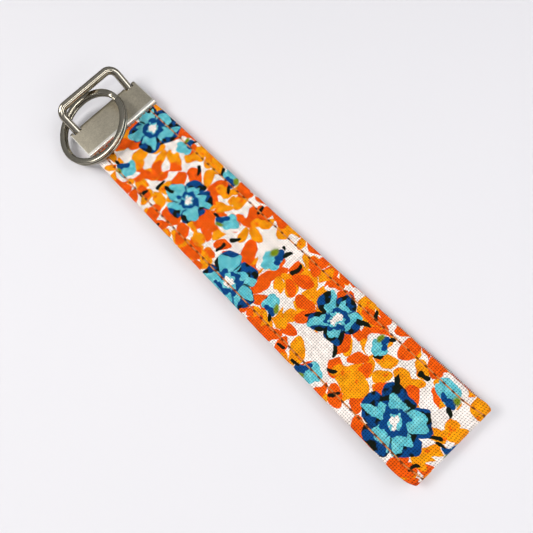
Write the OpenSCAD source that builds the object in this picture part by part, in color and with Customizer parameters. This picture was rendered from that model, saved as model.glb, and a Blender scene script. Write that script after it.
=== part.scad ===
// Wristlet keychain: a folded fabric wrist strap, a steel key fob clamp, its wire loop and a split ring.
// Frame: origin at the centre of the clamp's flat underside. X across the strap, strap along -Y, Z up.

/* [Strap] */
// width of the finished strap
strap_width = 31.8; // [20:0.2:40]
// length from the clamp's mouth to the folded end
strap_length = 155; // [110:1:200]
// thickness of one leg of the folded strap
leg_t = 1.6; // [1.2:0.1:2.4]
// air between the two legs
leg_gap = 0.6; // [0.5:0.1:1.2]
// thickness of the woven cover
cover_t = 0.4; // [0.25:0.05:0.6]
// length of the short root between clamp and first bend
root_length = 12; // [9:0.5:20]
// length of the neck that carries both legs
neck_length = 12; // [8:0.5:20]
// length of the folded end piece
fold_length = 13; // [8:0.5:20]

/* [Stitching] */
// distance from the strap's edge to the stitch line
stitch_inset = 3.5; // [2:0.1:6]
// length of one stitch
stitch_len = 2.5; // [1.5:0.1:4]
// distance from stitch to stitch
stitch_pitch = 3.2; // [2:0.1:5]
// thickness of the thread where it lies on the cloth
stitch_h = 0.2; // [0.1:0.05:0.25]
// width of the thread
stitch_w = 0.5; // [0.3:0.05:0.8]

/* [Clamp] */
// how much wider the clamp is than the strap
clamp_over = 0.8; // [0.4:0.1:2]
// depth of the clamp, from mouth to crest
clamp_depth = 15.2; // [10:0.1:20]
// height of the closed clamp
clamp_height = 5.2; // [4.4:0.1:7]
// thickness of the steel sheet
sheet_t = 0.8; // [0.6:0.05:1]
// how far a lip leans out over the strap
lip_lean = 0.55; // [0:0.05:0.6]
// spacing of the teeth along the mouth
tooth_pitch = 1.8; // [1.2:0.1:3]
// how deep a strap end reaches into the clamp
tail_depth = 7.5; // [5:0.5:9]
// thickness of a strap end pinched in the clamp
pinch_t = 1.25; // [1:0.05:1.6]

/* [Wire loop] */
// play of the pivot bar inside the clamp's crest, across its whole diameter
bar_play = 0.6; // [0.3:0.05:1]
// distance from the clamp's side to the axis of the loop's arm
arm_inset = 3.1; // [2.6:0.1:5]
// distance from the pivot bar's axis to the far bar's axis
loop_depth = 11.3; // [9:0.1:24]
// corner radius at the far bar, on the wire's axis
loop_r_far = 3.4; // [2:0.1:6]
// how far the bend at the pivot bar reaches past the crest's bore
bend_past = 0.4; // [0.1:0.1:2]
// height of the far bar's underside over the flat of the ring that props it
loop_lift = 1.09; // [0.8:0.01:2]
// gap between the two wire ends inside the clamp
loop_end_gap = 0.4; // [0.2:0.1:1]
// play of an arm in its slot, on each side
slot_play = 0.3; // [0.2:0.05:0.6]

/* [Split ring] */
// mid radius of the ring
ring_r = 14.05; // [11:0.05:16]
// width of the ring's wire, seen along the ring's axis
ring_w = 2.3; // [1.6:0.1:2.6]
// height of both turns together
ring_h = 2.4; // [1.6:0.1:2.6]
// slit between the two turns
ring_slit = 0.06; // [0.04:0.01:0.12]
// half of the angle in which the wire steps from turn to turn
step_angle = 8; // [5:1:15]
// where the step sits around the ring
step_at = 4; // [0:1:359]
// distance of the ring's centre from the clamp's side
ring_in = 8.5; // [6:0.1:12]
// centre of the ring, towards the crest
ring_y = 0.6; // [-3:0.1:4]
// height of the ring's centre over the strap
ring_rise = 2.1; // [1:0.05:4]
// sideways lean of the ring, in degrees
ring_lean = 13.44; // [0:0.1:20]
// lean of the ring towards the crest, in degrees
ring_drop = 5.6; // [0:0.1:12]

/* [Hidden] */
$fn = 96;
eps = 0.01;
mid_z = clamp_height / 2;
clamp_width = strap_width + clamp_over;
wire_d = clamp_height - 2 * sheet_t - bar_play;
loop_width = clamp_width - 2 * arm_inset;
ring_x = -clamp_width / 2 + ring_in;
fold_r = (clamp_height - leg_t) / 2;
leg_z = leg_gap / 2 + leg_t / 2;
mouth_y = -clamp_depth / 2;
crest_r = clamp_height / 2;
bore_r = crest_r - sheet_t;
bar_y = clamp_depth / 2 - crest_r;
loop_r_near = bore_r + bend_past;
ring_z = mid_z + leg_gap / 2 + leg_t + ring_rise;
loop_tilt = asin((ring_z + ring_h / 2 + loop_lift + wire_d / 2 - mid_z) / loop_depth);
root_y = mouth_y - root_length;
neck_y = root_y - neck_length;
end_y = mouth_y - strap_length;
fold_y = end_y + fold_length;
knee_y = (neck_y + fold_y) / 2;
flex_gap = 1.5;
neck_gap = 0.5;
knee_gap = 1.0;
ramp_y = mouth_y - 4;
edge_r = 0.7;
core_w = strap_width - 2 * cover_t;
core_t = leg_t - 2 * cover_t;
fit = 0.02;
slit_h = 0.12;
stitch_x = strap_width / 2 - stitch_inset;
stitch_end = 1.7;
ring_t = (ring_h - ring_slit) / 2;
slot_w = wire_d + 2 * slot_play;
slot_back = wire_d / 2 * sin(loop_tilt) - sqrt(bore_r * bore_r - wire_d * wire_d / 4) * cos(loop_tilt) + 0.2;
tooth_n = floor(clamp_width / tooth_pitch) - 1;
lip_top = mid_z - 0.08 - pinch_t - fit;

// a bar along Y from y0 down to y1, with a rounded cross-section centred on height z
module bar_y(w, t, r, y0, y1, z) {
  translate([0, y0, z])
    rotate([90, 0, 0])
      linear_extrude(y0 - y1)
        rounded_rect(w, t, r);
}

// a rectangle with round corners, its long sides flat
module rounded_rect(w, t, r) {
  hull()
    for (x = [-w / 2 + r, w / 2 - r])
      for (y = [-t / 2 + r, t / 2 - r])
        translate([x, y]) circle(r, $fn = 24);
}

// the woven cover of one straight piece: a sleeve turned around its core, open along one edge
module leg_cover(y0, y1, z) {
  difference() {
    bar_y(strap_width, leg_t, edge_r, y0, y1, z);
    translate([-core_w / 2 - fit, y1 - 1, z - core_t / 2 - fit])
      cube([core_w + 2 * fit, y0 - y1 + 2, core_t + 2 * fit]);
    translate([-strap_width / 2 - 1, y1 - 1, z - slit_h / 2])
      cube([2, y0 - y1 + 2, slit_h]);
  }
}

// the stiffener inside one straight piece
module leg_core(y0, y1, z) {
  translate([-core_w / 2, y1, z - core_t / 2])
    cube([core_w, y0 - y1, core_t]);
}

// two stitch lines on both faces of one straight piece
module leg_thread(y0, y1, z) {
  n = floor((y0 - y1 - 2 * stitch_end + stitch_pitch - stitch_len) / stitch_pitch);
  start = (y0 + y1) / 2 + ((n - 1) * stitch_pitch) / 2;
  for (s = [-1, 1])
    for (f = [-1, 1])
      for (i = [0 : n - 1])
        translate([s * stitch_x, start - i * stitch_pitch, z + f * (leg_t + stitch_h) / 2])
          cube([stitch_w, stitch_len, stitch_h - fit], center = true);
}

// side view of a root leg: pinched in the clamp, full thickness outside; inset moves both faces in
module root_side(s, inset) {
  tail_y = mouth_y + tail_depth;
  pinch_lo = 0.08;
  pinch_hi = pinch_lo + pinch_t;
  lo = leg_gap / 2;
  hi = lo + leg_t;
  points = [
    [tail_y, pinch_lo + inset], [mouth_y - 0.6, pinch_lo + inset], [ramp_y, lo + inset],
    [root_y + flex_gap / 2, lo + inset], [root_y + flex_gap / 2, hi - inset],
    [ramp_y, hi - inset], [mouth_y - 0.6, pinch_hi - inset], [tail_y, pinch_hi - inset]
  ];
  polygon([for (p = points) [p[0], mid_z + s * p[1]]]);
}

// stretches a side view across the strap
module across(w) {
  translate([-w / 2, 0, 0])
    rotate([90, 0, 90])
      linear_extrude(w)
        children();
}

module root_cover(s) {
  difference() {
    across(strap_width) root_side(s, 0);
    across(core_w + 2 * fit) root_side(s, cover_t - fit);
  }
}

module root_core(s) {
  intersection() {
    across(core_w) root_side(s, cover_t);
    translate([-core_w / 2 - 1, root_y, -1])
      cube([core_w + 2, root_length + tail_depth - 0.6, 8]);
  }
}

module root_thread(s) {
  leg_thread(ramp_y + 1, root_y + flex_gap / 2, mid_z + s * leg_z);
}

module clamp_body() {
  color([0.74, 0.72, 0.68])
    difference() {
      union() {
        crest();
        plate();
        translate([0, 0, clamp_height]) mirror([0, 0, 1]) plate();
      }
      for (s = [-1, 1])
        translate([s * loop_width / 2 - slot_w / 2, bar_y - slot_back, mid_z - wire_d / 2 - 0.15])
          cube([slot_w, crest_r + slot_back + 1, clamp_height]);
      for (i = [0 : tooth_n - 1])
        tooth_gap((i - (tooth_n - 1) / 2) * tooth_pitch);
    }
}

// the round crest that holds the pivot bar
module crest() {
  difference() {
    translate([-clamp_width / 2, bar_y, mid_z])
      rotate([0, 90, 0]) cylinder(h = clamp_width, r = crest_r);
    translate([-clamp_width / 2 - 1, bar_y, mid_z])
      rotate([0, 90, 0]) cylinder(h = clamp_width + 2, r = bore_r);
    translate([-clamp_width / 2 - 1, bar_y - 10, -1])
      cube([clamp_width + 2, 10, clamp_height + 2]);
  }
}

// the lower plate with its lip turned up and out into the strap
module plate() {
  translate([-clamp_width / 2, mouth_y + sheet_t, 0])
    cube([clamp_width, bar_y - mouth_y - sheet_t + eps, sheet_t]);
  intersection() {
    translate([-clamp_width / 2, mouth_y + sheet_t, sheet_t])
      rotate([0, 90, 0]) cylinder(h = clamp_width, r = sheet_t);
    translate([-clamp_width / 2, mouth_y, 0])
      cube([clamp_width, sheet_t, sheet_t]);
  }
  across(clamp_width)
    polygon([
      [mouth_y + sheet_t, sheet_t - eps], [mouth_y, sheet_t - eps],
      [mouth_y - lip_lean, lip_top], [mouth_y - lip_lean + sheet_t, lip_top]
    ]);
}

// a notch between two teeth, cut through both lips
module tooth_gap(x) {
  for (z = [lip_top, clamp_height - lip_top])
    translate([x, mouth_y - lip_lean + sheet_t / 2, z])
      rotate([0, 45, 0]) cube([0.6, 1.5, 0.6], center = true);
}

module wire_loop() {
  x = loop_width / 2;
  color([0.8, 0.78, 0.74])
    translate([0, bar_y, mid_z])
      rotate([loop_tilt, 0, 0])
        difference() {
          union() {
            for (s = [-1, 1]) {
              translate([s * x, loop_r_near, 0])
                rotate([-90, 0, 0])
                  cylinder(h = loop_depth - loop_r_near - loop_r_far, d = wire_d);
              corner(s, x, loop_depth, loop_r_far, 1);
              corner(s, x, 0, loop_r_near, -1);
            }
            translate([-x + loop_r_far, loop_depth, 0])
              rotate([0, 90, 0]) cylinder(h = 2 * (x - loop_r_far), d = wire_d);
            translate([-x + loop_r_near, 0, 0])
              rotate([0, 90, 0]) cylinder(h = 2 * (x - loop_r_near), d = wire_d);
          }
          translate([-loop_end_gap / 2, -5, -5]) cube([loop_end_gap, 10, 10]);
        }
}

// a quarter bend of the loop's wire; s picks the side, e the far (1) or near (-1) end
module corner(s, x, y, r, e) {
  quarter = (s > 0) ? ((e > 0) ? 0 : 270) : ((e > 0) ? 90 : 180);
  translate([s * (x - r), y - e * r, 0])
    rotate([0, 0, quarter])
      rotate_extrude(angle = 90)
        translate([r, 0]) circle(d = wire_d, $fn = 48);
}

module split_ring() {
  color([0.8, 0.79, 0.76])
    translate([ring_x, ring_y, ring_z])
      rotate([-ring_drop, -ring_lean, 0])
        rotate([0, 0, step_at]) {
          turn((ring_slit + ring_t) / 2);
          turn(-(ring_slit + ring_t) / 2);
          ring_step();
        }
}

// one turn of the ring's wire, short of the step
module turn(z) {
  rotate([0, 0, step_angle])
    rotate_extrude(angle = 360 - 2 * step_angle)
      translate([ring_r, z]) square([ring_w, ring_t], center = true);
}

// the piece of wire that climbs from the lower turn to the upper one
module ring_step() {
  n = 4;
  rise = ring_slit + ring_t;
  for (i = [0 : n - 1])
    hull() {
      wire_slice(-step_angle + 2 * step_angle * i / n, rise * (i / n - 0.5));
      wire_slice(-step_angle + 2 * step_angle * (i + 1) / n, rise * ((i + 1) / n - 0.5));
    }
}

// a thin slice across the ring's wire
module wire_slice(a, z) {
  rotate([0, 0, a])
    translate([ring_r, 0, z])
      cube([ring_w, 0.04, ring_t], center = true);
}

module root_front_cover() {
  color([0.95, 0.6, 0.25]) root_cover(1);
}

module root_front_core() {
  color([0.93, 0.91, 0.86]) root_core(1);
}

module root_front_thread() {
  color([0.72, 0.42, 0.16]) root_thread(1);
}

module root_back_cover() {
  color([0.95, 0.6, 0.25]) root_cover(-1);
}

module root_back_core() {
  color([0.93, 0.91, 0.86]) root_core(-1);
}

module root_back_thread() {
  color([0.72, 0.42, 0.16]) root_thread(-1);
}

module neck_front_cover() {
  color([0.93, 0.88, 0.8])
    leg_cover(root_y - flex_gap / 2, neck_y + neck_gap / 2, mid_z + leg_z);
}

module neck_front_core() {
  color([0.93, 0.91, 0.86])
    leg_core(root_y - flex_gap / 2, neck_y + neck_gap / 2, mid_z + leg_z);
}

module neck_front_thread() {
  color([0.72, 0.42, 0.16])
    leg_thread(root_y - flex_gap / 2, neck_y + neck_gap / 2, mid_z + leg_z);
}

module neck_back_cover() {
  color([0.93, 0.88, 0.8])
    leg_cover(root_y - flex_gap / 2, neck_y + neck_gap / 2, mid_z - leg_z);
}

module neck_back_core() {
  color([0.93, 0.91, 0.86])
    leg_core(root_y - flex_gap / 2, neck_y + neck_gap / 2, mid_z - leg_z);
}

module neck_back_thread() {
  color([0.72, 0.42, 0.16])
    leg_thread(root_y - flex_gap / 2, neck_y + neck_gap / 2, mid_z - leg_z);
}

module front_near_cover() {
  color([0.95, 0.6, 0.25])
    leg_cover(neck_y - neck_gap / 2, knee_y + knee_gap / 2, mid_z + leg_z);
}

module front_near_core() {
  color([0.93, 0.91, 0.86])
    leg_core(neck_y - neck_gap / 2, knee_y + knee_gap / 2, mid_z + leg_z);
}

module front_near_thread() {
  color([0.72, 0.42, 0.16])
    leg_thread(neck_y - neck_gap / 2, knee_y + knee_gap / 2, mid_z + leg_z);
}

module front_far_cover() {
  color([0.4, 0.8, 0.8])
    leg_cover(knee_y - knee_gap / 2, fold_y + neck_gap / 2, mid_z + leg_z);
}

module front_far_core() {
  color([0.93, 0.91, 0.86])
    leg_core(knee_y - knee_gap / 2, fold_y + neck_gap / 2, mid_z + leg_z);
}

module front_far_thread() {
  color([0.72, 0.42, 0.16])
    leg_thread(knee_y - knee_gap / 2, fold_y + neck_gap / 2, mid_z + leg_z);
}

// side view of the folded end: two legs that part slightly and meet in a round bend
module fold_legs(t) {
  bend_y = end_y + fold_r + leg_t / 2;
  for (s = [-1, 1])
    polygon([
      for (p = [
        [fold_y - neck_gap / 2, leg_z - t / 2], [fold_y - 2, leg_z - t / 2], [bend_y, fold_r - t / 2],
        [bend_y, fold_r + t / 2], [fold_y - 2, leg_z + t / 2], [fold_y - neck_gap / 2, leg_z + t / 2]
      ]) [p[0], mid_z + s * p[1]]
    ]);
}

// the round bend itself, half a turn about an axis across the strap
module fold_bend(w, t) {
  translate([-w / 2, end_y + fold_r + leg_t / 2, mid_z])
    rotate([0, 90, 0])
      difference() {
        cylinder(h = w, r = fold_r + t / 2);
        translate([0, 0, -1]) cylinder(h = w + 2, r = fold_r - t / 2);
        translate([-10, 0, -1]) cube([20, 10, w + 2]);
      }
}

module fold_solid(w, t) {
  across(w) fold_legs(t);
  fold_bend(w, t);
}

module fold_cover() {
  color([0.95, 0.6, 0.25])
    difference() {
      fold_solid(strap_width, leg_t);
      fold_solid(core_w + 2 * fit, core_t + 2 * fit);
    }
}

module fold_core() {
  color([0.93, 0.91, 0.86]) fold_solid(core_w, core_t);
}

module fold_thread() {
  rise = atan((fold_r - leg_z) / (fold_y - 2 - end_y - fold_r - leg_t / 2));
  color([0.72, 0.42, 0.16])
    for (s = [-1, 1])
      for (f = [-1, 1])
        for (x = [-stitch_x, stitch_x])
          translate([x, fold_y - 2, mid_z + s * leg_z])
            rotate([-s * rise, 0, 0])
              translate([0, -stitch_len / 2 - 0.2, f * (leg_t + stitch_h) / 2])
                cube([stitch_w, stitch_len, stitch_h - 2 * fit], center = true);
}

module back_far_cover() {
  color([0.93, 0.88, 0.8])
    leg_cover(knee_y - knee_gap / 2, fold_y + neck_gap / 2, mid_z - leg_z);
}

module back_far_core() {
  color([0.93, 0.91, 0.86])
    leg_core(knee_y - knee_gap / 2, fold_y + neck_gap / 2, mid_z - leg_z);
}

module back_far_thread() {
  color([0.72, 0.42, 0.16])
    leg_thread(knee_y - knee_gap / 2, fold_y + neck_gap / 2, mid_z - leg_z);
}

module back_near_cover() {
  color([0.4, 0.8, 0.8])
    leg_cover(neck_y - neck_gap / 2, knee_y + knee_gap / 2, mid_z - leg_z);
}

module back_near_core() {
  color([0.93, 0.91, 0.86])
    leg_core(neck_y - neck_gap / 2, knee_y + knee_gap / 2, mid_z - leg_z);
}

module back_near_thread() {
  color([0.72, 0.42, 0.16])
    leg_thread(neck_y - neck_gap / 2, knee_y + knee_gap / 2, mid_z - leg_z);
}

clamp_body();
wire_loop();
split_ring();
root_front_cover();
root_front_core();
root_front_thread();
root_back_cover();
root_back_core();
root_back_thread();
neck_front_cover();
neck_front_core();
neck_front_thread();
neck_back_cover();
neck_back_core();
neck_back_thread();
front_near_cover();
front_near_core();
front_near_thread();
front_far_cover();
front_far_core();
front_far_thread();
fold_cover();
fold_core();
fold_thread();
back_far_cover();
back_far_core();
back_far_thread();
back_near_cover();
back_near_core();
back_near_thread();
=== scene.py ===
import math

import bmesh
import bpy
from mathutils import Euler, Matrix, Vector, noise


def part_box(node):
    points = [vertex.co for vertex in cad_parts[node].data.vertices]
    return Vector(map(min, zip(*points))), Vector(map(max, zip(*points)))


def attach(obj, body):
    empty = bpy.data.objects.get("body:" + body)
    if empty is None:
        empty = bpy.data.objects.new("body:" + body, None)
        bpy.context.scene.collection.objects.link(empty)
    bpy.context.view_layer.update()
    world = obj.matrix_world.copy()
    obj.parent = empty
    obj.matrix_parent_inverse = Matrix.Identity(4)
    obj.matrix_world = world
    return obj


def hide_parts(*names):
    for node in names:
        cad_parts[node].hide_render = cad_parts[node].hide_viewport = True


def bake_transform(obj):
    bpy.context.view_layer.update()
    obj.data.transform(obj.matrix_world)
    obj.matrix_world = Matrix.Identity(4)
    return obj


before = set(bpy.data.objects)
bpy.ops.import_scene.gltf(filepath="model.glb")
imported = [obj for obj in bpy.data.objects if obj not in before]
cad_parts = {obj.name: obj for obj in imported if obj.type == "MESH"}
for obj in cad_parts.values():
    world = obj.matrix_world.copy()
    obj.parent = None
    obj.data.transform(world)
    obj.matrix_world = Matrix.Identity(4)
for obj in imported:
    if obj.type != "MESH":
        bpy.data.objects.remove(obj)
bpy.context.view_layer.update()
MM = 0.001

# ---------------------------------------------------------------- camera
camera_data = bpy.data.cameras.new("camera")
camera_data.sensor_width = 36
camera_data.lens = 30.4
camera_data.clip_start = 0.01
camera = bpy.data.objects.new("camera", camera_data)
camera.location = (-0.0159, -0.13044, 0.14482)
camera.rotation_euler = [math.radians(a) for a in (16.96, 7.44, -43.58)]
bpy.context.scene.collection.objects.link(camera)
bpy.context.scene.camera = camera
bpy.context.scene.view_settings.view_transform = "Standard"

# ---------------------------------------------------------------- sizes, in millimetres
clamp_lo, clamp_hi = (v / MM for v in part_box("clamp_body"))
fold_lo, fold_hi = (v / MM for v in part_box("fold_cover"))
MID_Z = (clamp_lo.z + clamp_hi.z) / 2
CLAMP_DEPTH = 15.2
MOUTH_Y = clamp_hi.y - CLAMP_DEPTH
HALF_W = (fold_hi.x - fold_lo.x) / 2
LEG_T = 1.6
LEG_Z = 1.1
COVER_T = 0.4
EDGE_R = 0.7
PINCH_T = 1.25
PINCH_Z = 0.08 + PINCH_T / 2
PINCH_FROM = MOUTH_Y - 4.4
PINCH_TO = MOUTH_Y - 0.4
FOLD_R = 1.8
TAIL_DEPTH = 7.5
TAIL_Y = MOUTH_Y + TAIL_DEPTH
BEND_Y = fold_lo.y + FOLD_R + LEG_T / 2
LEG_RUN = TAIL_Y - BEND_Y
ARC = math.pi * FOLD_R
PATH = 2 * LEG_RUN + ARC
STITCH_X = 12.4
PITCH = 3.2
STITCH_LEN = 2.5
ROW = 0.53
INNER_STEP = 4
NOSE_R = 0.8
TURNED_IN = 1.0


def smooth(x, a, b):
    """0 before a, 1 after b, and a smooth step between."""
    t = min(max((x - a) / (b - a), 0.0), 1.0)
    return t * t * (3 - 2 * t)


def wave(*p):
    """Smooth noise from -1 to 1 that is the same each run."""
    return noise.noise(Vector(p))


# ---------------------------------------------------------------- the folded strip
def leg_offset(y):
    """Distance of a leg's middle from the strap's middle height."""
    pinch = smooth(y, PINCH_FROM, PINCH_TO)
    part = smooth(-y, -(BEND_Y + 9.5), -(BEND_Y - 1.0))
    return LEG_Z + (PINCH_Z - LEG_Z) * pinch + (FOLD_R - LEG_Z) * part


def station(v):
    """Centre (y, z), outward normal (y, z) and y along the leg at path distance v."""
    if v <= LEG_RUN:
        y = TAIL_Y - v
        return y, MID_Z + leg_offset(y), 0.0, 1.0, y
    if v >= LEG_RUN + ARC:
        y = BEND_Y + v - LEG_RUN - ARC
        return y, MID_Z - leg_offset(y), 0.0, -1.0, y
    a = (v - LEG_RUN) / FOLD_R
    return (BEND_Y - FOLD_R * math.sin(a), MID_Z + FOLD_R * math.cos(a),
            -math.sin(a), math.cos(a), BEND_Y - FOLD_R * math.sin(a))


def v_of(y, back):
    """Path distance of the point with this y on the front or the back leg."""
    return PATH - (TAIL_Y - y) if back else TAIL_Y - y


def free(y):
    """0 inside the clamp, 1 where the cloth is free to ripple."""
    return smooth(-y, -MOUTH_Y + 1.5, -MOUTH_Y + 6)


def half_t(y):
    """Half of a leg's thickness, less where the clamp pinches it."""
    return LEG_T / 2 + (PINCH_T - LEG_T) / 2 * smooth(y, PINCH_FROM, PINCH_TO)


def frame_at(v):
    """Everything a point of the strip needs at path distance v."""
    y, z, ny, nz, leg_y = station(v)
    f = free(leg_y)
    back = smooth(v, LEG_RUN - 5, LEG_RUN + ARC * 0.8)
    peek = back * (0.45 + 0.85 * smooth(-leg_y, 95, 160)) * smooth(-leg_y, 25, 80)
    side = f * (0.12 * wave(v / 11, 3.1, 0.2) + 0.05 * wave(v / 3.1, 7.7, 0.2)) + peek
    lift = 0.07 * f * wave(v / 17, 1.3, 5.0)
    bow = smooth(-leg_y, -BEND_Y - 1.8, -BEND_Y + 1.8)
    narrow = 0.5 * bow ** 3
    askew = 0.5 * smooth(-leg_y, -BEND_Y - 30, -BEND_Y + 1.8)
    return y, z, ny, nz, f, side, lift, half_t(leg_y), HALF_W - narrow, askew


def place(st, x, h):
    """Point at x across the strip and h out from its middle surface, in metres."""
    y, z, ny, nz, _, side, lift, _, _, askew = st
    h = h + lift
    return Vector((x + side, y + ny * h - askew * (1 + x / HALF_W), z + nz * h)) * MM


def skin(st, v, x, h, top):
    """A point of the cover's outside with its pucker and creases."""
    f = st[4]
    d = abs(abs(x) - STITCH_X)
    beat = 0.5 + 0.5 * math.cos(2 * math.pi * (v + 0.35) / PITCH)
    groove = -0.20 * math.exp(-(d / 0.55) ** 2) * (0.65 + 0.35 * beat)
    edge = math.exp(-((abs(x) - 14.2) / 1.1) ** 2)
    swell = 0.07 * edge * (1 - 0.8 * beat) + 0.05 * math.exp(-((abs(x) - 10.6) / 1.5) ** 2)
    ripple = 0.045 * wave(x / 3.6, v / 4.2, 2.0 + top) + 0.02 * wave(x / 1.1, v / 1.3, 9.0)
    flat = smooth(abs(x), HALF_W - 0.05, HALF_W - 0.9)
    return place(st, x, h + top * f * flat * (groove + swell + ripple))


def outline(hw, ht):
    """The cover's section from the open edge round to itself: (x, h, top, distance along it)."""
    pts = []
    gap, notch = 0.07, 0.32
    r = min(EDGE_R, ht - 0.08)
    arc = [math.radians(a) for a in (0, 18, 36, 54, 72, 90)]
    pts.append((-hw + notch, 0.0, 1))
    pts.append((-hw + 0.04, gap, 1))
    for a in arc:
        pts.append((-hw + r - r * math.cos(a), ht - r + r * math.sin(a), 1))
    inner = [-15.0, -14.7, -14.2, -13.6, -13.1, -12.75, -12.4, -12.05, -11.7, -11.2, -10.4,
             -9.4, -8.2, -6.8, -5.3, -3.7, -1.9, 0.0]
    xs = inner + [-x for x in reversed(inner[:-1])]
    xs = [x for x in xs if abs(x) < hw - r - 0.05]
    for x in xs:
        pts.append((x, ht, 1))
    for a in reversed(arc):
        pts.append((hw - r + r * math.cos(a), ht - r + r * math.sin(a), 1))
    for a in arc:
        pts.append((hw - r + r * math.cos(a), -ht + r - r * math.sin(a), -1))
    for x in reversed(xs):
        pts.append((x, -ht, -1))
    for a in reversed(arc):
        pts.append((-hw + r - r * math.cos(a), -ht + r - r * math.sin(a), -1))
    pts.append((-hw + 0.04, -gap, -1))
    out, run = [], 0.0
    for i, p in enumerate(pts):
        if i:
            run += math.hypot(p[0] - pts[i - 1][0], p[1] - pts[i - 1][1])
        out.append((*p, run))
    return out


def new_mesh(name, verts, faces, coords=None, sharp=48, material=None):
    """A smooth-shaded object; coords are its points' own places on the flat strip."""
    mesh = bpy.data.meshes.new(name)
    mesh.from_pydata(verts, [], faces)
    mesh.validate()
    if coords is not None:
        attribute = mesh.attributes.new("strip", "FLOAT_VECTOR", "POINT")
        attribute.data.foreach_set("vector", [c for p in coords for c in p])
    bm = bmesh.new()
    bm.from_mesh(mesh)
    bmesh.ops.recalc_face_normals(bm, faces=bm.faces[:])
    bm.to_mesh(mesh)
    bm.free()
    mesh.shade_smooth()
    mesh.set_sharp_from_angle(angle=math.radians(sharp))
    if material:
        mesh.materials.append(material)
    obj = bpy.data.objects.new(name, mesh)
    bpy.context.scene.collection.objects.link(obj)
    return obj


def tube(rings, inner=None):
    """Vertices and faces of a swept closed section, hollow where inner rings are given."""
    n = len(rings[0])
    verts = [p for ring in rings for p in ring]
    faces = []
    for i in range(len(rings) - 1):
        for j in range(n):
            k = (j + 1) % n
            faces.append((i * n + j, i * n + k, (i + 1) * n + k, (i + 1) * n + j))
    last = (len(rings) - 1) * n
    if inner is None:
        faces.append(tuple(range(n)))
        faces.append(tuple(range(last, last + n)))
        return verts, faces
    base, m = len(verts), len(inner)
    verts += [p for ring in inner for p in ring]
    for i in range(m - 1):
        for j in range(n):
            k = (j + 1) % n
            a = base + i * n
            faces.append((a + j, a + n + j, a + n + k, a + k))
    for j in range(n):
        k = (j + 1) % n
        faces.append((j, base + j, base + k, k))
        a = base + (m - 1) * n
        faces.append((last + j, last + k, a + k, a + j))
    return verts, faces


def rows_between(v0, v1, step):
    """Evenly spaced path distances from v0 to v1, about a step apart."""
    n = max(2, round(abs(v1 - v0) / step))
    return [v0 + (v1 - v0) * i / n for i in range(n + 1)]


def nose_rows(v0):
    """Path distance and thinning of the rows of a round nose that ends a piece beyond v0."""
    return [(v0 + NOSE_R * math.sin(a), math.cos(a))
            for a in (math.radians(d) for d in (18, 35, 50, 65, 80))]


def cover_piece(name, v0, v1, material, nose=False):
    """A hollow stretch of the cover, with a round nose at its end if it turns against the next one."""

    def station_row(v):
        st = frame_at(min(v, v1) if nose else v)
        if nose and v > v1:
            y, z = station(v)[:2]
            st = (y, z, *st[2:])
        return st

    rows = [(v, 1.0) for v in rows_between(v0, v1, ROW)]
    straight = [v for v, _ in rows]
    if nose:
        rows += nose_rows(v1)
    rings, coords = [], []
    for v, thin in rows:
        st = station_row(v)
        ring = []
        for x, h, top, run in outline(st[8], st[7]):
            ring.append(skin(st, v, x, h * thin, top))
            coords.append((run - HALF_W - TURNED_IN, v, abs(x) - STITCH_X))
        rings.append(ring)
    keep = straight[::INNER_STEP]
    if (len(straight) - 1) % INNER_STEP:
        keep.append(straight[-1])
    if nose:
        keep.append(v1 + 0.3)
    inner = []
    for v in keep:
        st = station_row(v)
        ht, hw = st[7], st[8]
        ring = []
        for x, h, top, run in outline(hw, ht):
            ring.append(place(st, x * (hw - COVER_T) / hw, h * (ht - COVER_T) / ht))
            coords.append((run - HALF_W - TURNED_IN, v, 9.0))
        inner.append(ring)
    verts, faces = tube(rings, inner=inner)
    return new_mesh(name, verts, faces, coords, material=material)


def core_piece(name, v0, v1, material):
    """A stretch of the stiffener that fills the cover."""
    across = (-1, -0.5, 0, 0.5, 1)
    section = [(-1, -1)] + [(x, 1) for x in across] + [(x, -1) for x in across[:0:-1]]
    rings, coords = [], []
    for v in rows_between(v0, v1, 1.6):
        st = frame_at(v)
        hw, ht = st[8] - COVER_T - 0.04, st[7] - COVER_T - 0.03
        ring = []
        for x, h in section:
            ring.append(place(st, x * hw, h * ht))
            coords.append((x * hw, v, h * ht))
        rings.append(ring)
    verts, faces = tube(rings)
    return new_mesh(name, verts, faces, coords, material=material)


def stitch(mid, x, side):
    """One stitch as a small round-ended tube that dips into the cloth at both ends."""
    rings, coords = [], []
    steps = (-1.0, -0.92, -0.78, -0.5, -0.2, 0.2, 0.5, 0.78, 0.92, 1.0)
    sway = 0.10 * wave(mid * 1.7, x, side * 2.0)
    tilt = 0.09 * wave(mid * 2.3, x + 5, side * 2.0)
    for s in steps:
        v = mid + s * (STITCH_LEN / 2 - 0.06)
        st = frame_at(v)
        rise = 0.13 - 0.34 * abs(s) ** 5
        wide = 0.20 * (1 - 0.45 * abs(s) ** 6)
        tall = 0.15 * (1 - 0.35 * abs(s) ** 6)
        cx = x + sway + tilt * s
        surface = st[7] - 0.13
        ring = []
        for k in range(8):
            a = 2 * math.pi * k / 8
            ring.append(place(st, cx + wide * math.cos(a), side * (surface + rise + tall * math.sin(a))))
            coords.append((k / 8, v, 0.0))
        rings.append(ring)
    verts, faces = tube(rings)
    return verts, faces, coords


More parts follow.
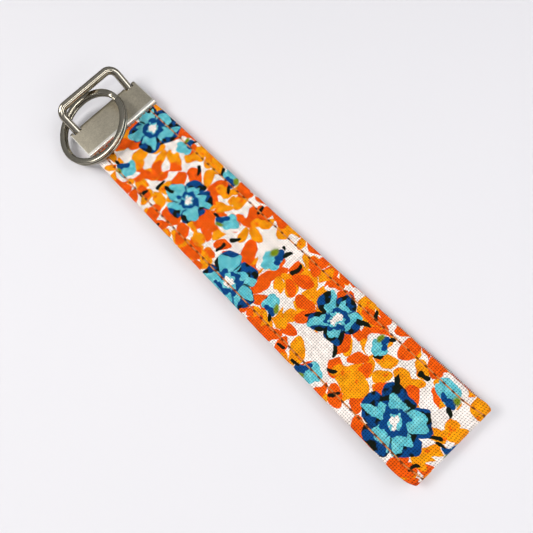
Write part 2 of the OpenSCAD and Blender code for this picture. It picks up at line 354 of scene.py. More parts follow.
def thread_piece(name, v0, v1, material):
    """All stitches of a stretch: both lines, outside and inside, and outside only round the fold."""
    verts, faces, coords = [], [], []
    n = math.ceil(v0 / PITCH)
    while n * PITCH < v1:
        mid = n * PITCH
        n += 1
        if mid < v0:
            continue
        if station(mid)[4] > MOUTH_Y - 1.6:
            continue
        bend = LEG_RUN - 6 < mid < LEG_RUN + ARC + 6
        for x in (-STITCH_X, STITCH_X):
            for side in (1, -1):
                if side < 0 and bend:
                    continue
                v, f, c = stitch(mid, x, side)
                faces += [tuple(i + len(verts) for i in face) for face in f]
                verts += v
                coords += c
    return new_mesh(name, verts, faces, coords, sharp=70, material=material)


# ---------------------------------------------------------------- node helper
class Net:
    """Short calls that add nodes to a material's tree and link them."""

    def __init__(self, name):
        self.material = bpy.data.materials.new(name)
        self.material.use_nodes = True
        self.tree = self.material.node_tree
        self.shader = self.tree.nodes["Principled BSDF"]
        self.output = self.tree.nodes["Material Output"]

    def add(self, kind, **settings):
        """A new node with its properties set."""
        node = self.tree.nodes.new(kind)
        for key, value in settings.items():
            setattr(node, key, value)
        return node

    def put(self, socket, value):
        """Links an output to the socket, or sets the socket to a constant."""
        if isinstance(value, bpy.types.NodeSocket):
            self.tree.links.new(value, socket)
        elif value is not None:
            socket.default_value = value

    def m(self, op, a, b=None, c=None):
        """One step of arithmetic."""
        node = self.add("ShaderNodeMath", operation=op)
        for socket, value in zip(node.inputs, (a, b, c)):
            self.put(socket, value)
        return node.outputs[0]

    def v(self, op, a, b=None, scale=None):
        """One step of vector arithmetic."""
        node = self.add("ShaderNodeVectorMath", operation=op)
        self.put(node.inputs[0], a)
        self.put(node.inputs[1], b)
        if scale is not None:
            self.put(node.inputs["Scale"], scale)
        return node.outputs["Value" if op == "LENGTH" else "Vector"]

    def split(self, vector):
        node = self.add("ShaderNodeSeparateXYZ")
        self.put(node.inputs[0], vector)
        return node.outputs

    def join(self, x, y, z=0.0):
        node = self.add("ShaderNodeCombineXYZ")
        for socket, value in zip(node.inputs, (x, y, z)):
            self.put(socket, value)
        return node.outputs[0]

    def mix(self, factor, a, b):
        node = self.add("ShaderNodeMix", data_type="RGBA")
        self.put(node.inputs[0], factor)
        self.put(node.inputs[6], a)
        self.put(node.inputs[7], b)
        return node.outputs[2]

    def ramp(self, value, low, high):
        """0 at low and below, 1 at high and above."""
        node = self.add("ShaderNodeMapRange", interpolation_type="SMOOTHSTEP")
        self.put(node.inputs[0], value)
        self.put(node.inputs[1], low)
        self.put(node.inputs[2], high)
        return node.outputs[0]

    def noise(self, vector, scale, detail=2.0, rough=0.5):
        node = self.add("ShaderNodeTexNoise", noise_dimensions="3D")
        self.put(node.inputs["Vector"], vector)
        node.inputs["Scale"].default_value = scale
        node.inputs["Detail"].default_value = detail
        node.inputs["Roughness"].default_value = rough
        return node.outputs

    def turn(self, vector, angle):
        """Rotates a flat vector about Z."""
        node = self.add("ShaderNodeVectorRotate", rotation_type="Z_AXIS")
        self.put(node.inputs["Vector"], vector)
        self.put(node.inputs["Angle"], angle)
        return node.outputs[0]

    def bump(self, height, distance, strength):
        node = self.add("ShaderNodeBump")
        node.inputs["Strength"].default_value = strength
        node.inputs["Distance"].default_value = distance
        self.put(node.inputs["Height"], height)
        return node.outputs[0]


# ---------------------------------------------------------------- printed cotton
CREAM = (0.86, 0.78, 0.73, 1)
ORANGE = (0.80, 0.095, 0.002, 1)
ORANGE_DEEP = (0.72, 0.068, 0.002, 1)
GOLD = (0.84, 0.26, 0.002, 1)
GOLD_LIGHT = (0.88, 0.33, 0.003, 1)
TURQUOISE = (0.095, 0.46, 0.54, 1)
TURQUOISE_PALE = (0.17, 0.56, 0.60, 1)
ROYAL = (0.002, 0.052, 0.20, 1)
GREEN_BLACK = (0.004, 0.008, 0.004, 1)
OLIVE = (0.17, 0.24, 0.01, 1)
# the drawing of flowers and buds repeats round the strip (from -WRAP_U to WRAP_U) and along it (WRAP_V)
WRAP_U = 16.9
WRAP_V = 163.2
FLOWER_COUNT = 5
FLOWER_SPREAD = 26.0
GOLDEN_STEP = 0.618


def scattered_motifs():
    """Flowers spread evenly along the strip, each with two buds: (across, along, turn, size)."""
    flowers, buds = [], []
    for i in range(FLOWER_COUNT):
        u = ((GOLDEN_STEP * i + 0.8) % 1.0 - 0.5) * FLOWER_SPREAD
        v = (i + 0.5) * WRAP_V / FLOWER_COUNT
        flowers.append((u, v, 1.7 * i, 1.55 - 0.25 * (i % 2)))
        for across, along, size in ((16.0, 5.0, 1.3), (4.0, 15.5, 1.15)):
            bud_u = (u + across + WRAP_U) % (2 * WRAP_U) - WRAP_U
            buds.append((bud_u, (v + along) % WRAP_V, 2.1 * i + along, size))
    return flowers, buds


FLOWERS, BUDS = scattered_motifs()


def leaf_layer(n, coord, cell, offset, length, width, sectors, fill):
    """Fans of round-ended leaves scattered in cells. Gives the shape (0 or 1) and a leaf's random value."""
    at = n.v("ADD", coord, offset)
    cells = n.add("ShaderNodeTexVoronoi", voronoi_dimensions="2D")
    n.put(cells.inputs["Vector"], at)
    cells.inputs["Scale"].default_value = 1 / cell
    cells.inputs["Randomness"].default_value = 0.85
    rnd = n.split(cells.outputs["Color"])
    local = n.v("SUBTRACT", at, cells.outputs["Position"])
    local = n.turn(local, n.m("MULTIPLY", rnd[0], 6.283))
    xyz = n.split(local)
    x = n.m("ADD", xyz[0], length * (0.42 if fill < 2 else 0.1))
    y = xyz[1]
    r = n.v("LENGTH", n.join(x, y))
    theta = n.m("ARCTAN2", y, x)
    step = 2 * math.pi / sectors
    k = n.m("ROUND", n.m("DIVIDE", theta, step))
    phi = n.m("SUBTRACT", theta, n.m("MULTIPLY", k, step))
    along = n.m("MULTIPLY", r, n.m("COSINE", phi))
    across = n.m("ABSOLUTE", n.m("MULTIPLY", r, n.m("SINE", phi)))
    hash_node = n.add("ShaderNodeTexWhiteNoise", noise_dimensions="2D")
    n.put(hash_node.inputs["Vector"], n.join(k, n.m("MULTIPLY", rnd[1], 61.0)))
    grow = n.m("MULTIPLY_ADD", hash_node.outputs["Value"], 0.35, 0.75)
    size = n.m("MULTIPLY", grow, n.m("MULTIPLY_ADD", n.m("ABSOLUTE", k), -0.16, 1.05))
    t = n.m("DIVIDE", along, n.m("MULTIPLY", size, length))
    t = n.m("DIVIDE", n.m("SUBTRACT", t, 0.59), 0.43)
    oval = n.m("SQRT", n.m("MAXIMUM", n.m("SUBTRACT", 1.0, n.m("MULTIPLY", t, t)), 0.0))
    half = n.m("MULTIPLY", oval, n.m("MULTIPLY", size, width))
    half = n.m("SUBTRACT", half, 0.02)
    shape = n.ramp(n.m("SUBTRACT", half, across), -0.02, 0.09)
    here = n.m("LESS_THAN", n.m("ABSOLUTE", k), fill)
    there = n.m("LESS_THAN", rnd[2], 0.9)
    return n.m("MULTIPLY", n.m("MULTIPLY", shape, here), there), hash_node.outputs["Value"]


def nearest(n, coord, places):
    """Vector from the nearest of the places, turned and sized, and that place's number."""
    best, vector, number = None, None, None
    for i, (u, v, turn, size) in enumerate(places):
        away = n.v("SUBTRACT", coord, (u, v, 0))
        away = n.v("SCALE", n.turn(away, turn), scale=1 / size)
        d = n.v("LENGTH", away)
        if best is None:
            best, vector, number = d, away, n.m("MULTIPLY", d, 0.0)
            continue
        closer = n.m("LESS_THAN", d, best)
        blend = n.add("ShaderNodeMix", data_type="VECTOR")
        n.put(blend.inputs[0], closer)
        n.put(blend.inputs[4], vector)
        n.put(blend.inputs[5], away)
        vector = blend.outputs[1]
        number = n.m("MAXIMUM", number, n.m("MULTIPLY", closer, float(i)))
        best = n.m("MINIMUM", best, d)
    return vector, number


def printed_cotton():
    """A loose floral print on cream plain weave, with needle holes along the stitch lines."""
    n = Net("printed_cotton")
    strip = n.add("ShaderNodeAttribute", attribute_name="strip").outputs["Vector"]
    uvw = n.split(strip)
    flat = n.join(uvw[0], uvw[1])
    # hand-drawn edges: the drawing is bent by slow and quick noise
    slow = n.v("SUBTRACT", n.noise(flat, 0.15, 1.0)["Color"], (0.5, 0.5, 0.5))
    quick = n.v("SUBTRACT", n.noise(flat, 0.6, 1.5)["Color"], (0.5, 0.5, 0.5))
    drawn = n.v("ADD", flat, n.v("SCALE", slow, scale=3.5))
    drawn = n.v("ADD", drawn, n.v("SCALE", quick, scale=0.9))
    xyz = n.split(drawn)
    drawn = n.join(xyz[0], xyz[1])

    tone = n.noise(flat, 0.28, 2.0)["Fac"]
    blotch = n.ramp(n.noise(n.v("ADD", flat, (40, 7, 0)), 0.42, 2.5, 0.6)["Fac"], 0.56, 0.66)
    colour = CREAM
    gold = n.mix(n.ramp(tone, 0.38, 0.62), GOLD, GOLD_LIGHT)
    gold = n.mix(n.m("MULTIPLY", blotch, 0.85), gold, ORANGE)
    orange = n.mix(n.ramp(tone, 0.5, 0.72), ORANGE, ORANGE_DEEP)
    layers = [
        # cell size, where it starts, leaf length and half width, leaves to a turn, leaves kept, gold share
        (13.0, (3.7, 1.9, 0), 10.0, 2.5, 6, 1.5, 0.85),
        (13.6, (31.1, 12.3, 0), 9.2, 2.3, 6, 2.5, 0.5),
        (13.2, (17.3, 44.2, 0), 10.0, 2.4, 6, 1.5, 0.2),
    ]
    for cell, offset, length, width, sectors, fill, golden in layers:
        shape, chance = leaf_layer(n, drawn, cell, offset, length, width, sectors, fill)
        paint = n.mix(n.m("LESS_THAN", n.m("FRACT", n.m("MULTIPLY", chance, 7.3)), golden), orange, gold)
        colour = n.mix(shape, colour, paint)

    # short dark strokes on some leaves
    at = n.v("ADD", drawn, (5.5, 27.0, 0))
    cells = n.add("ShaderNodeTexVoronoi", voronoi_dimensions="2D")
    n.put(cells.inputs["Vector"], at)
    cells.inputs["Scale"].default_value = 1 / 12.0
    rnd = n.split(cells.outputs["Color"])
    away = n.v("SUBTRACT", at, cells.outputs["Position"])
    stroke = n.split(n.turn(away, n.m("MULTIPLY", rnd[0], 6.283)))
    reach = n.m("MAXIMUM", n.m("SUBTRACT", n.m("ABSOLUTE", stroke[0]), 1.25), 0.0)
    curl = n.m("MULTIPLY", n.m("MULTIPLY", stroke[0], stroke[0]), 0.03)
    d = n.v("LENGTH", n.join(reach, n.m("ADD", stroke[1], curl)))
    mask = n.m("MULTIPLY", n.ramp(n.m("SUBTRACT", 0.62, d), -0.05, 0.07), n.m("LESS_THAN", rnd[1], 0.8))
    colour = n.mix(mask, colour, GREEN_BLACK)

    wrap_u = n.m("WRAP", xyz[0], WRAP_U, -WRAP_U)
    wrap_v = n.m("WRAP", xyz[1], WRAP_V, 0.0)
    tile = n.join(wrap_u, wrap_v)

    # buds
    bud, _ = nearest(n, tile, BUDS)
    b = n.split(bud)
    theta = n.m("ARCTAN2", b[1], n.m("SUBTRACT", b[0], 1.0))
    r1 = n.v("LENGTH", n.join(n.m("SUBTRACT", b[0], 1.0), b[1]))
    lobes = n.m("MULTIPLY_ADD", n.m("ABSOLUTE", n.m("COSINE", n.m("MULTIPLY", theta, 2.0))), 0.7, 2.1)
    mask = n.ramp(n.m("SUBTRACT", lobes, r1), -0.05, 0.08)
    pale = n.mix(n.ramp(n.noise(flat, 0.8, 1.0)["Fac"], 0.45, 0.65), TURQUOISE, TURQUOISE_PALE)
    around = n.ramp(n.m("SUBTRACT", n.m("ADD", lobes, 1.3), r1), -0.05, 0.08)
    colour = n.mix(n.m("MULTIPLY", around, n.ramp(b[1], -0.6, -0.3)), colour, CREAM)
    colour = n.mix(mask, colour, pale)
    r2 = n.v("LENGTH", n.join(n.m("ADD", b[0], 1.5), n.m("MULTIPLY", n.m("SUBTRACT", b[1], 0.3), 1.25)))
    r3 = n.v("LENGTH", n.join(n.m("ADD", b[0], 0.1), n.m("ADD", b[1], 0.9)))
    blob = n.m("MINIMUM", r2, n.m("MULTIPLY", r3, 1.6))
    colour = n.mix(n.ramp(blob, 1.5, 1.36), colour, ROYAL)
    r4 = n.v("LENGTH", n.join(n.m("MULTIPLY", n.m("ADD", b[0], 0.9), 0.6), n.m("SUBTRACT", b[1], 1.7)))
    colour = n.mix(n.ramp(r4, 1.05, 0.45), colour, OLIVE)
    r5 = n.v("LENGTH", n.join(n.m("MULTIPLY", n.m("ADD", b[0], 3.3), 0.45), n.m("ADD", b[1], 0.5)))
    colour = n.mix(n.ramp(r5, 0.6, 0.48), colour, GREEN_BLACK)

    # flowers
    flower, number = nearest(n, tile, FLOWERS)
    f = n.split(flower)
    r = n.v("LENGTH", flower)
    theta = n.m("ARCTAN2", f[1], f[0])
    petal = n.m("POWER", n.m("ABSOLUTE", n.m("COSINE", n.m("MULTIPLY", theta, 2.5))), 0.55)
    scallop = n.m("ABSOLUTE", n.m("COSINE", n.m("MULTIPLY_ADD", theta, 5.0, 0.8)))
    spoke = n.join(n.m("COSINE", theta), n.m("SINE", theta), number)
    uneven = n.m("SUBTRACT", n.noise(n.v("ADD", spoke, (5.1, 2.2, 0.4)), 1.1, 1.0)["Fac"], 0.5)
    edge = n.m("ADD", n.m("MULTIPLY_ADD", petal, 2.3, 4.2), n.m("MULTIPLY", uneven, 3.4))
    ragged = n.noise(spoke, 1.4, 1.0)["Fac"]
    rim = n.m("MULTIPLY", n.ramp(ragged, 0.40, 0.56), 2.2)
    field = n.m("ADD", n.m("SUBTRACT", edge, rim), n.m("MULTIPLY", scallop, 0.6))
    body = n.ramp(n.m("SUBTRACT", n.m("ADD", edge, 0.35), r), -0.05, 0.08)
    shadow = n.noise(n.v("ADD", flat, (9, 9, 0)), 0.35, 1.0)["Fac"]
    dark = n.mix(n.ramp(shadow, 0.46, 0.56), ROYAL, GREEN_BLACK)
    colour = n.mix(body, colour, dark)
    inside = n.ramp(n.m("SUBTRACT", field, r), -0.05, 0.08)
    split = n.m("MULTIPLY", n.m("SUBTRACT", 1.0, n.ramp(petal, 0.25, 0.42)), n.ramp(r, 2.2, 3.2))
    inside = n.m("MULTIPLY", inside, n.m("SUBTRACT", 1.0, n.m("MULTIPLY", split, 0.9)))
    tint = n.mix(n.ramp(n.noise(flat, 0.5, 1.0)["Fac"], 0.42, 0.66), TURQUOISE, TURQUOISE_PALE)
    colour = n.mix(inside, colour, tint)
    ring = n.m("ABSOLUTE", n.m("SUBTRACT", r, n.m("MULTIPLY_ADD", scallop, 0.35, 1.9)))
    wide = n.m("MULTIPLY_ADD", n.noise(flat, 0.55, 0.0)["Fac"], 2.1, -0.42)
    colour = n.mix(n.ramp(n.m("SUBTRACT", wide, ring), -0.05, 0.08), colour, ROYAL)
    heart = n.m("MULTIPLY_ADD", n.noise(flat, 0.8, 1.0)["Fac"], 2.0, 0.1)
    colour = n.mix(n.ramp(n.m("SUBTRACT", heart, r), -0.05, 0.08), colour, CREAM)
    beside = n.m("ABSOLUTE", n.m("ADD", f[1], n.m("MULTIPLY", f[0], 0.15)))
    tip = n.ramp(n.m("ADD", n.m("ABSOLUTE", f[1]), f[0]), 9.6, 9.3)
    beyond = n.m("MULTIPLY", n.ramp(f[0], 5.0, 5.2), tip)
    stalk = n.m("MULTIPLY", n.ramp(beside, 0.5, 0.42), beyond)
    colour = n.mix(stalk, colour, GREEN_BLACK)

    # yarns: over and under in both directions, with painted shade in the small gaps between them, along
    # their edges and on the yarns that pass under
    pitch = 0.72
    jitter = n.m("MULTIPLY", n.noise(flat, 0.5, 2.0)["Fac"], 0.6)
    yu = n.m("ADD", n.m("DIVIDE", uvw[0], pitch), jitter)
    yv = n.m("ADD", n.m("DIVIDE", uvw[1], pitch), jitter)
    wave_u = n.m("SINE", n.m("MULTIPLY", yu, math.pi))
    wave_v = n.m("SINE", n.m("MULTIPLY", yv, math.pi))
    su = n.m("ABSOLUTE", wave_u)
    sv = n.m("ABSOLUTE", wave_v)
    parity = n.m("MULTIPLY", wave_u, wave_v)
    over = n.m("ADD", n.m("MAXIMUM", parity, 0.0), n.m("MULTIPLY", n.m("MINIMUM", su, sv), 0.5))
    gap = n.ramp(n.m("ADD", su, sv), 1.15, 0.35)
    seam_shade = n.m("MAXIMUM", n.ramp(su, 0.42, 0.05), n.ramp(sv, 0.42, 0.05))
    slub = n.ramp(n.noise(n.v("MULTIPLY", flat, (0.3, 3.0, 1.0)), 1.0, 3.0)["Fac"], 0.3, 0.75)
    # painted shade in the gaps and along the yarn edges; slubs and yarn-to-yarn tone are the cloth's own
    shade = n.m("SUBTRACT", n.m("MULTIPLY_ADD", slub, 0.14, 1.26), n.m("MULTIPLY", gap, 0.72))
    shade = n.m("SUBTRACT", shade, n.m("MULTIPLY", seam_shade, 0.2))
    for yarn, run in ((yu, yv), (yv, yu)):
        one = n.add("ShaderNodeTexWhiteNoise", noise_dimensions="2D")
        n.put(one.inputs["Vector"], n.join(n.m("FLOOR", yarn), n.m("FLOOR", n.m("MULTIPLY", run, 0.25))))
        shade = n.m("SUBTRACT", shade, n.m("MULTIPLY", one.outputs["Value"], 0.2))
    # painted shade on the yarns that pass under
    shade = n.m("SUBTRACT", shade, n.m("MULTIPLY", n.m("LESS_THAN", parity, 0.0), 0.07))
    # the print with the painted weave shade
    painted_light = n.v("SCALE", colour, scale=shade)

    # needle holes between stitches, their darkness painted shade, and painted shade beside the thread along
    # the stitch line
    beat = n.m("ABSOLUTE", n.m("SUBTRACT", n.m("FRACT", n.m("DIVIDE", uvw[1], PITCH)), 0.5))
    hole_v = n.m("MULTIPLY", beat, PITCH)
    hole = n.v("LENGTH", n.join(n.m("MULTIPLY", uvw[2], 1.9), n.m("MULTIPLY", hole_v, 0.85)))
    hole = n.m("MULTIPLY", n.ramp(hole, 0.8, 0.45), 0.97)
    # painted shade: the needle holes are painted near black
    painted_light = n.mix(hole, painted_light, (0.06, 0.008, 0.003, 1))
    # painted shade: a faint brown darkening along the stitch line beside the thread
    line = n.ramp(n.m("ABSOLUTE", uvw[2]), 0.5, 0.1)
    painted_light = n.mix(n.m("MULTIPLY", line, 0.25), painted_light, (0.42, 0.13, 0.02, 1))
    n.put(n.shader.inputs["Base Color"], painted_light)

    fuzz = n.noise(flat, 5.0, 3.0, 0.7)["Fac"]
    height = n.m("ADD", over, n.m("MULTIPLY", fuzz, 0.35))
    n.put(n.shader.inputs["Normal"], n.bump(height, 0.00005, 0.9))
    n.put(n.shader.inputs["Roughness"], n.m("MULTIPLY_ADD", fuzz, 0.18, 0.74))
    n.shader.inputs["Sheen Weight"].default_value = 0.03
    n.shader.inputs["Sheen Roughness"].default_value = 0.5
    n.shader.inputs["Specular IOR Level"].default_value = 0.08
    return n.material


def sewing_thread():
    """Twisted thread, with painted shade between its strands."""
    n = Net("sewing_thread")
    strip = n.split(n.add("ShaderNodeAttribute", attribute_name="strip").outputs["Vector"])
    twist = n.m("SINE", n.m("MULTIPLY", n.m("ADD", strip[0], n.m("DIVIDE", strip[1], 0.45)), 2 * math.pi))
    place_ = n.join(strip[0], strip[1])
    fibre = n.noise(n.v("MULTIPLY", place_, (9.0, 1.5, 1.0)), 2.0, 3.0)["Fac"]
    # painted shade: the thread is painted dark in the grooves between its strands
    colour = n.mix(n.ramp(twist, -0.9, 0.3), (0.34, 0.08, 0.008, 1), (0.80, 0.27, 0.02, 1))
    colour = n.mix(n.m("MULTIPLY", fibre, 0.3), colour, (0.80, 0.30, 0.04, 1))
    n.put(n.shader.inputs["Base Color"], colour)
    n.put(n.shader.inputs["Roughness"], n.m("MULTIPLY_ADD", fibre, 0.3, 0.4))
    n.put(n.shader.inputs["Normal"], n.bump(n.m("ADD", twist, fibre), 0.00004, 0.8))
    n.shader.inputs["Sheen Weight"].default_value = 0.2
    return n.material


def interfacing():
    """The stiffener: matte fibres in a loose web."""
    n = Net("interfacing")
    strip = n.add("ShaderNodeAttribute", attribute_name="strip").outputs["Vector"]
    fibres = n.noise(strip, 2.2, 4.0, 0.7)["Fac"]
    web = n.ramp(n.noise(n.v("MULTIPLY", strip, (1.0, 4.0, 1.0)), 1.2, 3.0)["Fac"], 0.35, 0.7)
    n.put(n.shader.inputs["Base Color"], n.mix(web, (0.62, 0.59, 0.53, 1), (0.80, 0.78, 0.73, 1)))
    n.put(n.shader.inputs["Roughness"], n.m("MULTIPLY_ADD", fibres, 0.2, 0.75))
    n.put(n.shader.inputs["Normal"], n.bump(fibres, 0.0001, 0.6))
    return n.material


# ---------------------------------------------------------------- plated steel
def nickel(name, base, dark, rough, grain, scratch, painted_light_bands=False):
    """Nickel plate; the optional bands add a painted dark reflection on the crest, painted shade on the
    lip's underside and a painted highlight on the lip and sides.
    """
    n = Net(name)
    place_ = n.add("ShaderNodeTexCoord").outputs["Object"]
    fine = n.noise(place_, 2600, 3.0, 0.7)["Fac"]
    mottled = n.noise(place_, 700, 5.0, 0.7)["Fac"]
    smear = n.noise(n.v("MULTIPLY", place_, (1.0, 0.25, 0.4)), 160, 3.0)["Fac"]
    lines = n.noise(n.v("MULTIPLY", place_, (0.12, 1.0, 1.0)), 3600, 3.0, 0.7)["Fac"]
    speckle = n.m("MULTIPLY_ADD", fine, 0.6, n.m("MULTIPLY", mottled, 0.4))
    colour = n.mix(n.ramp(speckle, 0.32, 0.68), dark, base)
    if painted_light_bands:
        y = n.split(place_)[1]
        # painted dark reflection band along the crest
        crest = n.ramp(y, 0.0063, 0.0074)
        # painted shade band on the toothed lip at the mouth
        mouth_shade = n.ramp(y, -0.00756, -0.00768)
        # painted highlight band along the side edges
        side = n.ramp(n.m("ABSOLUTE", n.split(place_)[0]), 0.01585, 0.0162)
        painted_light = n.m("MAXIMUM", n.ramp(y, -0.0061, -0.0064), side)
        # painted highlight: the lip's bend and the side edges are painted pale
        colour = n.mix(n.m("MULTIPLY", painted_light, 0.9), colour, (0.95, 0.93, 0.86, 1))
        # painted dark reflection on the crest and painted shade at the mouth, both painted near black
        colour = n.mix(n.m("MULTIPLY", n.m("MAXIMUM", crest, mouth_shade), 0.85), colour, (0.05, 0.043, 0.03, 1))
    n.put(n.shader.inputs["Base Color"], colour)
    n.shader.inputs["Metallic"].default_value = 1.0
    n.shader.inputs["Specular Tint"].default_value = (0.10, 0.09, 0.07, 1)
    r = n.m("ADD", rough, n.m("MULTIPLY", n.m("SUBTRACT", smear, 0.5), 0.16))
    r = n.m("ADD", r, n.m("MULTIPLY", n.m("SUBTRACT", fine, 0.5), 0.12))
    n.put(n.shader.inputs["Roughness"], r)
    height = n.m("ADD", n.m("MULTIPLY", fine, grain), n.m("MULTIPLY", lines, scratch))
    n.put(n.shader.inputs["Normal"], n.bump(height, 0.00001, 0.6))
    return n.material


CLOTH = printed_cotton()
THREAD = sewing_thread()
CORE = interfacing()
# the clamp gets painted highlights on its lip and sides, a painted dark reflection on its crest and painted
# shade at its mouth
CLAMP_STEEL = nickel("clamp_steel", (0.64, 0.585, 0.465, 1), (0.44, 0.40, 0.31, 1), 0.36, 1.0, 0.4,
                     painted_light_bands=True)
WIRE_STEEL = nickel("loop_wire", (0.50, 0.465, 0.385, 1), (0.38, 0.35, 0.285, 1), 0.12, 0.03, 0.03)
RING_STEEL = nickel("ring_wire", (0.46, 0.43, 0.355, 1), (0.36, 0.335, 0.27, 1), 0.14, 0.03, 0.04)

# ---------------------------------------------------------------- strap pieces
APEX = LEG_RUN + ARC / 2
# where one piece of the strap ends and the next begins, and the open pivot
NECK_CUT, NEAR_CUT, FAR_CUT, PIVOT = -25.6, -61.1, -120.1, -31.6
# y where each bend starts and ends
FLEX = (-14.1, -25.1)
OPEN = (-26.6, -36.6)
KNEE = (-82.6, -98.6)
TIP = (-143.6, -154.6)
pieces = [
    # name, start, end, CAD nodes, and a body or (body, body, (y start, y end))
    ("front_root", 0.0, v_of(NECK_CUT, False), ("root_front",), ("clamp", "strap_neck", FLEX)),
    ("front_near", v_of(NECK_CUT, False), v_of(NEAR_CUT, False), ("neck_front",),
     ("strap_neck", "leg_front_near", OPEN)),
    ("front_mid", v_of(NEAR_CUT, False), v_of(FAR_CUT, False), ("front_near",),
     ("leg_front_near", "leg_front_far", KNEE)),
    ("front_end", v_of(FAR_CUT, False), APEX, ("front_far", "fold"), ("leg_front_far", "strap_fold", TIP)),
    ("back_end", APEX, v_of(FAR_CUT, True), (), ("strap_fold", "leg_back_far", TIP[::-1])),
    ("back_mid", v_of(FAR_CUT, True), v_of(NEAR_CUT, True), ("back_far",),
     ("leg_back_far", "leg_back_near", KNEE[::-1])),
    ("back_near", v_of(NEAR_CUT, True), v_of(PIVOT, True), ("back_near",), "leg_back_near"),
    ("back_root", v_of(PIVOT, True), PATH, ("neck_back", "root_back"), ("strap_neck", "clamp", FLEX[::-1])),
]
for name, v0, v1, nodes, motion in pieces:
    made = [
        (cover_piece("cover_" + name, v0, v1, CLOTH, nose=name == "back_near"), "_cover", "printed_cotton"),
        (core_piece("core_" + name, v0, v1, CORE), "_core", "interfacing"),
        (thread_piece("stitches_" + name, v0, v1, THREAD), "_thread", "thread"),
    ]
    for obj, kind, slot in made:
        if isinstance(motion, str):
            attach(obj, motion)
        else:
            a, b, (y0, y1) = motion
            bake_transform(obj)
        if nodes:
            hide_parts(*[node + kind for node in nodes])


# ---------------------------------------------------------------- hardware
def rebuilt(node, name, bevel, material):
    """The CAD node's mesh with its flat faces joined again and its edges softened."""
    bm = bmesh.new()
    bm.from_mesh(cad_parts[node].data)
    bmesh.ops.remove_doubles(bm, verts=bm.verts[:], dist=1e-6)
    bmesh.ops.dissolve_limit(bm, angle_limit=math.radians(0.6), verts=bm.verts[:], edges=bm.edges[:])
    edges = [e for e in bm.edges if len(e.link_faces) == 2 and e.calc_face_angle(0) > math.radians(40)]
    bmesh.ops.bevel(bm, geom=edges, offset=bevel, segments=2, profile=0.5, affect="EDGES",
                    clamp_overlap=True)
    bmesh.ops.recalc_face_normals(bm, faces=bm.faces[:])
    mesh = bpy.data.meshes.new(name)
    bm.to_mesh(mesh)
    bm.free()
    mesh.shade_smooth()
    mesh.set_sharp_from_angle(angle=math.radians(35))
    mesh.materials.append(material)
    obj = bpy.data.objects.new(name, mesh)
    bpy.context.scene.collection.objects.link(obj)
    return obj


clamp = rebuilt("clamp_body", "clamp_shell", 0.00012, CLAMP_STEEL)
weighted = clamp.modifiers.new("weighted", "WEIGHTED_NORMAL")
weighted.keep_sharp = True
weighted.weight = 100
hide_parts("clamp_body")
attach(clamp, "clamp")

# wire loop: a round wire bent to a rounded rectangle, its ends inside the crest
WIRE = 3.0
BAR = Vector((0, 5.0, MID_Z))
TILT = math.radians(43.58)
LOOP_X, DEPTH, R_FAR, R_NEAR = 13.2, 11.3, 3.4, 2.2
END_GAP = 0.4
END_CHAMFER = 0.12
WIRE_SIDES = 24


def loop_line():
    """Points and directions of the wire's middle, from one end in the crest round to the other."""
    pts = [((END_GAP / 2, 0.0), (1, 0))]

    def bend(cx, cy, r, a0, a1, n):
        """Adds the points of an arc about (cx, cy)."""
        for i in range(n + 1):
            a = math.radians(a0 + (a1 - a0) * i / n)
            pts.append(((cx + r * math.cos(a), cy + r * math.sin(a)), (-math.sin(a), math.cos(a))))

    bend(LOOP_X - R_NEAR, R_NEAR, R_NEAR, -90, 0, 12)
    bend(LOOP_X - R_FAR, DEPTH - R_FAR, R_FAR, 0, 90, 14)
    bend(-LOOP_X + R_FAR, DEPTH - R_FAR, R_FAR, 90, 180, 14)
    bend(-LOOP_X + R_NEAR, R_NEAR, R_NEAR, 180, 270, 12)
    pts.append(((-END_GAP / 2, 0.0), (1, 0)))
    return pts


rings = []
turned = Euler((TILT, 0, 0)).to_matrix()
line = loop_line()
for i, ((px, py), (dx, dy)) in enumerate(line):
    # how far each ring is shifted along X, and how much smaller it is
    steps = [(0.0, 0.0)]
    if i == 0:
        steps = [(0.0, END_CHAMFER), (END_CHAMFER, 0.0)]
    elif i == len(line) - 1:
        steps = [(-END_CHAMFER, 0.0), (0.0, END_CHAMFER)]
    for shift, less in steps:
        ring = []
        for k in range(WIRE_SIDES):
            a = 2 * math.pi * k / WIRE_SIDES
            off = Vector((dy * math.cos(a), -dx * math.cos(a), math.sin(a))) * (WIRE / 2 - less)
            ring.append((BAR + turned @ (Vector((px + shift, py, 0)) + off)) * MM)
        rings.append(ring)
verts, faces = tube(rings)
loop = new_mesh("wire_loop_bent", verts, faces, sharp=60, material=WIRE_STEEL)
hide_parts("wire_loop")
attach(loop, "loop")

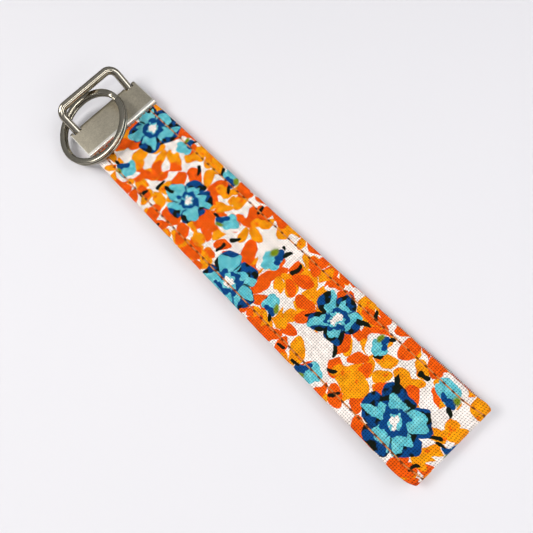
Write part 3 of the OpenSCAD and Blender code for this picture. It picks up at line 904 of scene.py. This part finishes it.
# split ring: one flat wire wound twice, stepping up once
RING_C = Vector((-7.8, 0.6, 6.6))
RING_R, RING_W, RING_T, SLIT = 14.05, 2.3, 1.12, 0.16
RING_LEAN, RING_DROP, STEP_AT, STEP_HALF = 13.44, 5.6, 4, 8
RING_EDGE = 0.5
RING_ROWS = 288
WOUND = 720 - 2 * STEP_HALF
tipped = (Euler((math.radians(-RING_DROP), math.radians(-RING_LEAN), 0)).to_matrix()
          @ Euler((0, 0, math.radians(STEP_AT))).to_matrix())
rings = []
for i in range(RING_ROWS + 1):
    deg = STEP_HALF + WOUND * i / RING_ROWS
    climb = smooth(deg, 351, 369)
    inset = 0.05 if i in (0, RING_ROWS) else 0.0
    z = (RING_T + SLIT) * (climb - 0.5)
    a = math.radians(deg)
    ring = []
    for sx, sz, start in ((1, 1, 0), (-1, 1, 90), (-1, -1, 180), (1, -1, 270)):
        for s in (0, 18, 36, 54, 72, 90):
            b = math.radians(start + s)
            x = sx * (RING_W / 2 - RING_EDGE - inset) + RING_EDGE * math.cos(b)
            h = sz * (RING_T / 2 - RING_EDGE - inset) + RING_EDGE * math.sin(b)
            spot = Vector(((RING_R + x) * math.cos(a), (RING_R + x) * math.sin(a), z + h))
            ring.append((RING_C + tipped @ spot) * MM)
    rings.append(ring)
verts, faces = tube(rings)
split_ring = new_mesh("split_ring_wound", verts, faces, sharp=55, material=RING_STEEL)
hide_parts("split_ring")
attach(split_ring, "ring")

# ---------------------------------------------------------------- stage and light
floor_net = Net("floor")
spot = floor_net.add("ShaderNodeTexCoord").outputs["Object"]
soft = floor_net.noise(spot, 6.0, 2.0)["Fac"]
floor_net.put(floor_net.shader.inputs["Base Color"],
              floor_net.mix(soft, (0.76, 0.76, 0.80, 1), (0.80, 0.79, 0.82, 1)))
floor_net.shader.inputs["Roughness"].default_value = 0.85
FLOOR_HALF, FLOOR_Z = 3, -0.0002
corners = [(x * FLOOR_HALF, y * FLOOR_HALF, FLOOR_Z) for x, y in ((-1, -1), (1, -1), (1, 1), (-1, 1))]
floor = new_mesh("floor", corners, [(0, 1, 2, 3)], material=floor_net.material)


def area(name, place_, target, size, power, tint):
    """A rectangular lamp that faces its target."""
    data = bpy.data.lights.new(name, "AREA")
    data.shape = "RECTANGLE"
    data.size, data.size_y = size
    data.energy = power
    data.color = tint
    lamp = bpy.data.objects.new(name, data)
    lamp.location = place_
    lamp.rotation_euler = (Vector(target) - Vector(place_)).to_track_quat("-Z", "Y").to_euler()
    bpy.context.scene.collection.objects.link(lamp)


area("top", (-0.03, -0.22, 0.44), (0, -0.03, 0), (0.36, 0.045), 0.42, (1.0, 0.98, 0.95))
area("front", (0.06, -0.60, 0.30), (0, -0.02, 0), (0.5, 0.12), 0.8, (1.0, 0.98, 0.95))
area("key", (-0.30, 0.25, 0.50), (0, -0.06, 0), (0.35, 0.25), 2.6, (1.0, 0.98, 0.95))
area("fill", (0.45, -0.35, 0.45), (0, -0.08, 0), (0.4, 0.4), 1.3, (0.96, 0.97, 1.0))

world = bpy.data.worlds.new("studio")
world.use_nodes = True
bpy.context.scene.world = world
tree = world.node_tree
background = tree.nodes["Background"]
where = tree.nodes.new("ShaderNodeTexCoord")
height = tree.nodes.new("ShaderNodeSeparateXYZ")
tree.links.new(where.outputs["Generated"], height.inputs[0])
ramp = tree.nodes.new("ShaderNodeValToRGB")
ramp.color_ramp.elements[0].position = 0.0
ramp.color_ramp.elements[0].color = (0.30, 0.30, 0.31, 1)
ramp.color_ramp.elements[1].position = 0.8
ramp.color_ramp.elements[1].color = (0.95, 0.95, 0.97, 1)
tree.links.new(height.outputs[2], ramp.inputs[0])
tree.links.new(ramp.outputs[0], background.inputs[0])
background.inputs[1].default_value = 0.38
